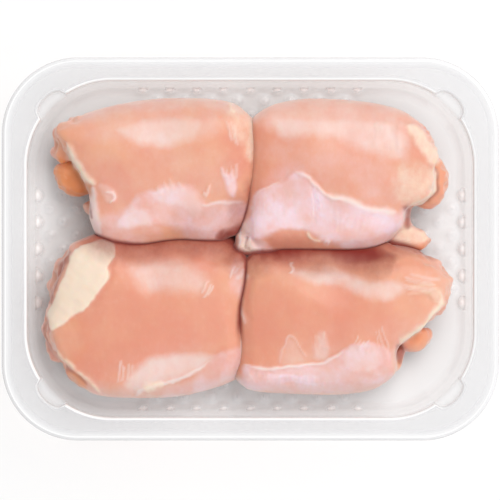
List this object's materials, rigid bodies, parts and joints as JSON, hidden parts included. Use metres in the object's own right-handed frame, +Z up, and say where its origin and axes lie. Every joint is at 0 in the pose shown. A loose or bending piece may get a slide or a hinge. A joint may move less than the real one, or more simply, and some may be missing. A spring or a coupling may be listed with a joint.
{
  "type": "meat tray pack",
  "caption": "Open clear formed plastic food tray with rounded corners, flat flange and bumped floor, filled with folded raw boneless chicken thighs.",
  "frame": {"origin": "middle of the tray's footprint, on the surface it stands on", "axes": "+X along the tray's long side, to the right in the picture; +Y along its short side, towards the back; +Z up, out of the open mouth"},
  "size_m": [0.227, 0.175, 0.045],
  "materials": {
    "clear_plastic": "clear, slightly hazy formed plastic with a soft gloss",
    "raw_meat": "moist raw poultry, pale peach with lavender membrane and cream fat, soft wet gloss"
  },
  "bodies": {
    "root": {"tray": "clear_plastic", "thigh_back_left": "raw_meat", "thigh_back_right": "raw_meat", "thigh_front_left": "raw_meat", "thigh_front_right": "raw_meat"}
  },
  "joints": []
}
